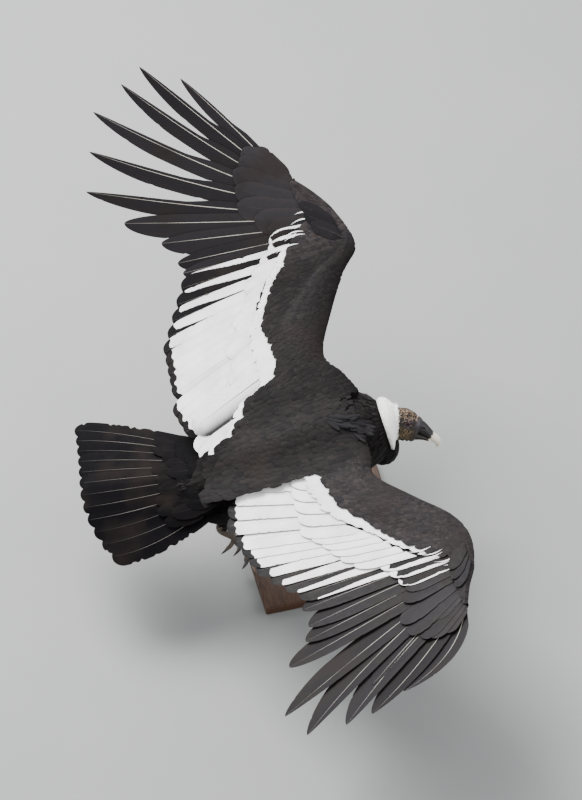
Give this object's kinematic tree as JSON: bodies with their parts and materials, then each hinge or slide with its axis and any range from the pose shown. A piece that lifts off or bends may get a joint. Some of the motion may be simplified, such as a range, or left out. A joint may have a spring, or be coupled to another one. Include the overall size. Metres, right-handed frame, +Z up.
{
  "type": "andean condor model",
  "caption": "Life-size Andean condor, female, gliding with raised spread wings and fanned tail, held over a flat wooden base by one metal rod.",
  "frame": {"origin": "middle of the stand base's underside, on the floor", "axes": "+X the way the bird faces, +Y towards its left wing, +Z up"},
  "size_m": [1.085, 2.1695, 1.1775],
  "materials": {
    "black_feather": "black feathers with a faint sheen",
    "white_down": "matt white down",
    "bare_skin": "wrinkled dark brown skin",
    "foot_skin": "scaly grey-brown skin",
    "horn": "ivory horn, satin",
    "claw": "dark horn, satin",
    "eye": "dark red, glossy",
    "stained_wood": "dark stained, satin varnish",
    "dark_metal": "blackened steel, satin"
  },
  "bodies": {
    "root": {"torso": "black_feather", "neck": "black_feather", "ruff": "white_down", "head": "bare_skin", "bill_upper": "horn", "bill_lower": "horn", "eye_left": "eye", "eye_right": "eye", "wing_arm_left": "black_feather", "wing_hand_left": "black_feather", "wing_arm_right": "black_feather", "wing_hand_right": "black_feather", "tail": "black_feather", "leg_left": "black_feather", "leg_right": "black_feather", "foot_left": "foot_skin", "foot_right": "foot_skin", "claw_left_inner": "claw", "claw_left_middle": "claw", "claw_left_outer": "claw", "claw_left_hind": "claw", "claw_right_inner": "claw", "claw_right_middle": "claw", "claw_right_outer": "claw", "claw_right_hind": "claw", "stand_base": "stained_wood", "stand_rod": "dark_metal", "stand_collar": "dark_metal"}
  },
  "joints": []
}
